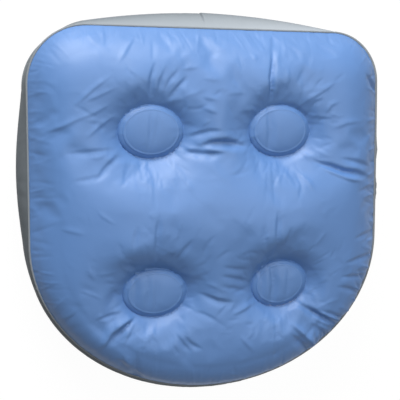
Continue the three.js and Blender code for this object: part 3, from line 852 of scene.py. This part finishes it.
def two_tone(tree, patches, color, shade):
    """Two close colours in soft patches."""
    ramp = tree.nodes.new("ShaderNodeValToRGB")
    for stop, place, tint in zip(ramp.color_ramp.elements, PATCH_ENDS, (shade, color)):
        stop.position = place
        stop.color = (*tint, 1)
    tree.links.new(patches.outputs["Fac"], ramp.inputs["Fac"])
    return ramp.outputs["Color"]


def painted_sheen(tree, where, tint, sheen_color):
    """Painted sheen: a colour that turns to a paler one, upwards and a little to the back."""
    along = tree.nodes.new("ShaderNodeVectorMath")
    along.operation = "DOT_PRODUCT"
    along.inputs[1].default_value = SHEEN_PAINT_WAY
    tree.links.new(where.outputs["Object"], along.inputs[0])
    share = tree.nodes.new("ShaderNodeMapRange")
    share.inputs["From Min"].default_value = SHEEN_PAINT_FROM * MM
    share.inputs["From Max"].default_value = SHEEN_PAINT_TO * MM
    tree.links.new(along.outputs["Value"], share.inputs["Value"])
    mix = tree.nodes.new("ShaderNodeMixRGB")
    mix.inputs["Color2"].default_value = (*sheen_color, 1)
    tree.links.new(share.outputs["Result"], mix.inputs["Fac"])
    tree.links.new(tint, mix.inputs["Color1"])
    return mix.outputs["Color"]


def patchy_gloss(tree, patches, roughness):
    """A roughness that differs a little from patch to patch."""
    gloss = tree.nodes.new("ShaderNodeMapRange")
    gloss.inputs["To Min"].default_value = roughness - GLOSS_SPREAD
    gloss.inputs["To Max"].default_value = roughness + GLOSS_SPREAD
    tree.links.new(patches.outputs["Fac"], gloss.inputs["Value"])
    return gloss.outputs["Result"]


def grained(tree, where):
    """Normals of a fine grain with crinkles over it."""
    grain = noise(tree, where, GRAIN_SCALE, GRAIN_DETAIL)
    crinkles = noise(tree, where, CRINKLE_SCALE, CRINKLE_DETAIL)
    crinkles.noise_type = "RIDGED_MULTIFRACTAL"
    crinkles.inputs["Distortion"].default_value = CRINKLE_DISTORTION
    normal = None
    for texture, strength, depth in ((grain, *GRAIN_BUMP), (crinkles, *CRINKLE_BUMP)):
        bump = tree.nodes.new("ShaderNodeBump")
        bump.inputs["Strength"].default_value = strength
        bump.inputs["Distance"].default_value = depth * MM
        tree.links.new(texture.outputs["Fac"], bump.inputs["Height"])
        if normal:
            tree.links.new(normal, bump.inputs["Normal"])
        normal = bump.outputs["Normal"]
    return normal


def vinyl(name, color, shade, roughness, specular, sheen_color=None):
    material = bpy.data.materials.new(name)
    material.use_nodes = True
    tree = material.node_tree
    shader = tree.nodes["Principled BSDF"]
    shader.inputs["Specular IOR Level"].default_value = specular
    where = tree.nodes.new("ShaderNodeTexCoord")
    patches = noise(tree, where, PATCH_SCALE, PATCH_DETAIL)
    tint = two_tone(tree, patches, color, shade)
    # An optional paler colour towards the top and back is painted sheen
    if sheen_color:
        tint = painted_sheen(tree, where, tint, sheen_color)
    tree.links.new(tint, shader.inputs["Base Color"])
    tree.links.new(patchy_gloss(tree, patches, roughness), shader.inputs["Roughness"])
    tree.links.new(grained(tree, where), shader.inputs["Normal"])
    return material


BLUE = vinyl(
    "blue_vinyl",
    color=(0.104, 0.236, 0.53),
    shade=(0.096, 0.222, 0.50),
    roughness=0.52,
    specular=0.75,
)
# Grey vinyl, whose paler colour towards the top of the back is painted sheen
GREY = vinyl(
    "grey_vinyl",
    color=(0.195, 0.22, 0.24),
    shade=(0.18, 0.203, 0.222),
    roughness=0.74,
    specular=0.22,
    sheen_color=(0.395, 0.435, 0.475),
)
PALE = vinyl(
    "seam_vinyl",
    color=(0.26, 0.285, 0.305),
    shade=(0.235, 0.26, 0.28),
    roughness=0.65,
    specular=0.3,
)
MILKY = vinyl(
    "tie_vinyl",
    color=(0.75, 0.77, 0.79),
    shade=(0.70, 0.72, 0.74),
    roughness=0.5,
    specular=0.5,
)
VALVE = vinyl(
    "valve_vinyl",
    color=(0.66, 0.70, 0.74),
    shade=(0.62, 0.66, 0.70),
    roughness=0.35,
    specular=0.5,
)


# Skins


def button_rise(share):
    """Height of a tuft's convex face over its edge."""
    return BUTTON_HEIGHT * np.maximum(0, 1 - share ** BUTTON_ROUND) ** BUTTON_EDGE


def shape_discs(points, tuft_z, side, tilt):
    """Give the sheet the tufts' convex faces, tucked under the rims at their edges."""
    for tuft in TUFTS:
        share = tuft_share(points[:, :2], tuft)
        under_rim = RING_INSET + RING_WIDTH - (1 - share) * tuft_radius(tuft)
        height = tuft_z + side * (button_rise(share) - RIM_TUCK * smooth(under_rim / RIM_TUCK_RUN))
        height += tilt * (points[:, 1] - tuft["y"])
        points[share < 1, 2] = height[share < 1]


def overhung(plan):
    """Let the front of the sheet swell out past the seam."""
    distance, station = edge_of(plan)
    number = np.round(station / OUTLINE_STEP).astype(int) % len(OUTLINE)
    outward = outline_normals(OUTLINE)[number]
    reach = FRONT_OVERHANG * np.maximum(0, -outward[:, 1]) * hump(np.clip(distance / OVERHANG_RUN, 0, 1))
    return plan + outward * reach[:, None]


def make_top():
    plan = plan_grid(TOP_GRID)
    points = np.column_stack([overhung(plan), top_height(plan)])
    grid = points.reshape(TOP_GRID, TOP_GRID, 3)
    grid = swelled(grid)
    points = grid.reshape(-1, 3)
    shape_discs(points, TUFT_Z, 1, TUFT_TILT)
    rise = wrinkle_rise(points[:, :2]) * smooth(edge_distance(plan) / EDGE_HOLD)
    rise += pucker_rise(*edge_of(points[:, :2]))
    grid = grid + grid_normals(grid) * rise.reshape(TOP_GRID, TOP_GRID, 1)
    return shell("top_skin", grid, 1, BLUE)


def make_under():
    plan = plan_grid(UNDER_GRID)
    creases = crease_rise(plan) + pucker_rise(*edge_of(plan))
    points = np.column_stack([plan, under_height(plan) + UNDER_CREASES * np.abs(creases)])
    shape_discs(points, UNDER_TUFT_Z, -1, 0)
    return shell("under_skin", points.reshape(UNDER_GRID, UNDER_GRID, 3), -1, GREY)


def band_bulge(line, normals):
    """How far the band bulges half-way up, most at the middle of each side."""
    back = BULGE_BACK * np.maximum(0, 1 - (line[:, 0] / (HALF_WIDTH - CORNER_RADIUS / 2)) ** 2)
    high = BACK_Y - CORNER_RADIUS / 2
    low = ARC_Y - CORNER_RADIUS
    off_middle = (line[:, 1] - (high + low) / 2) / ((high - low) / 2)
    side = np.where(normals[:, 0] > 0, BULGE_RIGHT, BULGE_SIDE)
    side = side * np.maximum(0, 1 - off_middle ** 2) ** 2
    front = BULGE_FRONT * np.maximum(0, -normals[:, 1])
    return side * normals[:, 0] ** 2 + np.where(normals[:, 1] > 0, back * normals[:, 1] ** 2, front)


def ring_line(step):
    """The seam line again, with its points a given step apart."""
    closed = np.concatenate([OUTLINE, OUTLINE[:1]])
    return resample(closed, int(len(OUTLINE) * OUTLINE_STEP / step) + 1)[:-1]


def band_line():
    """The line that the band follows, with its points closer together where the band's ends lap."""
    line = ring_line(BAND_STEP)
    near = np.flatnonzero((line[:, 1] > 0) & (np.abs(line[:, 0] - LAP_X) < LAP_REACH))
    fine = resample(line[near[0]:near[-1] + 1], LAP_POINTS)
    return np.concatenate([line[:near[0]], fine, line[near[-1] + 1:]])


def valve_hold(line, z):
    """How far the band is held to the valve's seat at one height, from 0 to 1."""
    from_valve = np.hypot(line[:, 1] - VALVE_Y, z - VALVE_Z)
    hold = smooth((SINK_RADIUS - from_valve) / (SINK_RADIUS - SINK_FLAT))
    return np.where(line[:, 0] > HALF_WIDTH - OUTLINE_STEP, hold, 0)


def lap_rise(line):
    """Rise of the band's outer end where the ends lap, and the groove beside it."""
    past = line[:, 0] - LAP_X
    rise = np.where(past > 0, LAP_EDGE * np.exp(-np.maximum(0, past) / LAP_WIDTH), 0)
    rise -= LAP_GROOVE * np.exp(-(past / LAP_GROOVE_WIDTH) ** 2)
    return np.where(line[:, 1] > 0, rise, 0)


def band_points():
    line = band_line()
    normals = outline_normals(line)
    bulge = band_bulge(line, normals)
    station = edge_of(line)[1]
    rows = []
    for share in np.linspace(0, 1, BAND_ROWS):
        z = UNDER_SEAM_Z + (SEAM_Z - UNDER_SEAM_Z) * share
        outward = bulge * hump(share)
        for gap in (SEAM_Z - z, z - UNDER_SEAM_Z):
            outward += BAND_PUCKERS * pucker_rise(np.full(len(line), gap), station)
        outward += (SINK_X - line[:, 0] - outward) * valve_hold(line, z)
        outward += lap_rise(line) * smooth(share / LAP_FADE) * smooth((1 - share) / LAP_FADE)
        rows.append(np.column_stack([line + normals * outward[:, None], np.full(len(line), z)]))
    return rows


def make_band():
    rows = band_points()
    faces = grid_faces(BAND_ROWS, len(rows[0]), closed=True)
    band = mesh_object("side_skin", np.concatenate(rows), faces, GREY)
    cut_valve_hole(band)
    thicken(band, FILM)
    return band


def cut_valve_hole(band):
    points = coordinates(band)
    inside = np.hypot(points[:, 1] - VALVE_Y, points[:, 2] - VALVE_Z) < VALVE_HOLE
    inside &= points[:, 0] > 0
    mesh = bmesh.new()
    mesh.from_mesh(band.data)
    mesh.verts.ensure_lookup_table()
    bmesh.ops.delete(mesh, geom=[mesh.verts[i] for i in np.flatnonzero(inside)], context="VERTS")
    mesh.to_mesh(band.data)
    mesh.free()


def make_bead(name, z, material):
    line = ring_line(BEAD_STEP)
    count = len(line)
    normals = outline_normals(line)
    width = BEAD_WIDTH * (1 + BEAD_RIGHT * np.maximum(0, normals[:, :1]))
    rows = []
    for angle in np.linspace(0, 2 * math.pi, BEAD_SIDES, endpoint=False):
        place = line + normals * width * math.cos(angle)
        rows.append(np.column_stack([place, np.full(count, z + BEAD_HEIGHT * math.sin(angle))]))
    rows.append(rows[0])
    faces = grid_faces(BEAD_SIDES + 1, count, closed=True)
    bead = mesh_object(name, np.concatenate(rows), faces, material)
    weld(bead)
    return bead


def oval(tuft, inset):
    angles = np.linspace(0, 2 * math.pi, RIM_STATIONS, endpoint=False)
    share = 1 - inset / tuft_radius(tuft)
    x = tuft["rx"] * share * np.cos(angles)
    y = tuft["ry"] * share * np.sin(angles)
    cos, sin = math.cos(tuft["turn"]), math.sin(tuft["turn"])
    return np.stack([tuft["x"] + x * cos - y * sin, tuft["y"] + x * sin + y * cos], axis=1)


def rim_section(tuft):
    """Section of a rim, as inset and height from its outer foot, over the top, to its inner foot."""
    flange = RING_INSET * np.linspace(0, 1, RIM_ROWS) ** 2
    ring = np.linspace(RING_INSET, RING_INSET + RING_WIDTH, RING_ROWS)
    inside = np.linspace(ring[-1], ring[-1] + RING_FADE, RING_ROWS)
    insets = np.concatenate([flange, ring[1:], inside[1:]])
    step = RING_STEP * smooth((insets - RING_INSET) / RING_WIDTH)
    step -= RING_DROP * smooth((insets - ring[-1]) / RING_FADE)
    heights = button_rise(1 - insets / tuft_radius(tuft)) + step
    outside = [(-RIM_FOOT_OUT, -RIM_FOOT), (-RIM_EDGE_OUT, 0)]
    return [*outside, *zip(insets, heights), (insets[-1], -RIM_FOOT)]


def make_rim(name, tuft, z, side, material):
    section = rim_section(tuft)
    section.append(section[0])
    plan = np.concatenate([oval(tuft, inset) for inset, _ in section])
    heights = z + side * np.repeat([up for _, up in section], RIM_STATIONS)
    if side > 0:
        heights += wrinkle_rise(plan) + TUFT_TILT * (plan[:, 1] - tuft["y"])
    faces = grid_faces(len(section), RIM_STATIONS, closed=True)
    if side < 0:
        faces = [face[::-1] for face in faces]
    rim = mesh_object(name, np.column_stack([plan, heights]), faces, material)
    weld(rim)
    return rim


def dress(piece, node):
    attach(piece, "cushion")
    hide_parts(node)


def recolor(node, material):
    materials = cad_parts[node].data.materials
    materials.clear()
    materials.append(material)


# Stage


def area_light(name, place, size, power):
    data = bpy.data.lights.new(name, "AREA")
    data.size = size * MM
    data.energy = power
    light = bpy.data.objects.new(name, data)
    light.location = Vector(place) * MM
    light.rotation_euler = (Vector(LAMP_TARGET) - Vector(place)).to_track_quat("-Z", "Y").to_euler()
    bpy.context.scene.collection.objects.link(light)


def background_share(nodes, links):
    """1 for the rays that show the background itself, and 0 for the light that it throws."""
    path = nodes.new("ShaderNodeLightPath")
    share = path.outputs["Is Camera Ray"]
    for kind in ("Is Glossy Ray", "Is Transmission Ray"):
        either = nodes.new("ShaderNodeMath")
        either.operation = "MAXIMUM"
        links.new(share, either.inputs[0])
        links.new(path.outputs[kind], either.inputs[1])
        share = either.outputs[0]
    return share


def diffuse(nodes, level):
    surface = nodes.new("ShaderNodeBsdfDiffuse")
    surface.inputs["Color"].default_value = (level, level, level, 1)
    return surface


def floor_material():
    """White with a faint shadow where it is seen, and grey for the light that it throws back."""
    material = bpy.data.materials.new("floor")
    material.use_nodes = True
    nodes = material.node_tree.nodes
    links = material.node_tree.links
    nodes.clear()
    plain = diffuse(nodes, FLOOR_GREY)
    shaded = diffuse(nodes, FLOOR_SHADE)
    glow = nodes.new("ShaderNodeEmission")
    glow.inputs["Strength"].default_value = FLOOR_GLOW
    both = nodes.new("ShaderNodeAddShader")
    links.new(shaded.outputs[0], both.inputs[0])
    links.new(glow.outputs[0], both.inputs[1])
    seen = nodes.new("ShaderNodeMixShader")
    links.new(background_share(nodes, links), seen.inputs[0])
    links.new(plain.outputs[0], seen.inputs[1])
    links.new(both.outputs[0], seen.inputs[2])
    output = nodes.new("ShaderNodeOutputMaterial")
    links.new(seen.outputs[0], output.inputs["Surface"])
    return material


def make_floor():
    bpy.ops.mesh.primitive_plane_add(size=FLOOR_SIZE * MM, location=(0, 0, 0))
    floor = bpy.context.object
    floor.name = "floor"
    floor.data.materials.append(floor_material())


def make_world():
    world = bpy.data.worlds.new("studio")
    bpy.context.scene.world = world
    world.use_nodes = True
    nodes = world.node_tree.nodes
    links = world.node_tree.links
    ambient = nodes["Background"]
    ambient.inputs["Color"].default_value = (*AMBIENT_COLOR, 1)
    ambient.inputs["Strength"].default_value = AMBIENT_STRENGTH
    white = nodes.new("ShaderNodeBackground")
    white.inputs["Color"].default_value = (1, 1, 1, 1)
    seen = nodes.new("ShaderNodeMixShader")
    links.new(background_share(nodes, links), seen.inputs[0])
    links.new(ambient.outputs[0], seen.inputs[1])
    links.new(white.outputs[0], seen.inputs[2])
    links.new(seen.outputs[0], nodes["World Output"].inputs["Surface"])


# The scene

make_camera()
make_world()
make_floor()
for lamp, (place, size, power) in LAMPS.items():
    area_light(lamp, place, size, power)

top_skin = make_top()
dress(top_skin, "top_panel")
under_skin = make_under()
dress(under_skin, "bottom_panel")
band_skin = make_band()
dress(band_skin, "side_band")
dress(make_bead("top_bead", SEAM_Z, PALE), "top_seam")
dress(make_bead("under_bead", UNDER_SEAM_Z, PALE), "bottom_seam")
for tuft in TUFTS:
    top_rim = make_rim(f"top_rim_{tuft['name']}", tuft, TUFT_Z, 1, BLUE)
    dress(top_rim, f"tuft_rim_top_{tuft['name']}")
    under_rim = make_rim(f"under_rim_{tuft['name']}", tuft, UNDER_TUFT_Z, -1, GREY)
    dress(under_rim, f"tuft_rim_bottom_{tuft['name']}")
for node in ("valve_flange", "valve_stem", "valve_plug"):
    recolor(node, VALVE)
recolor("valve_flap", MILKY)
for corner in CORNERS:
    recolor(f"tuft_column_{corner}", MILKY)

bpy.context.scene.view_settings.view_transform = "Standard"
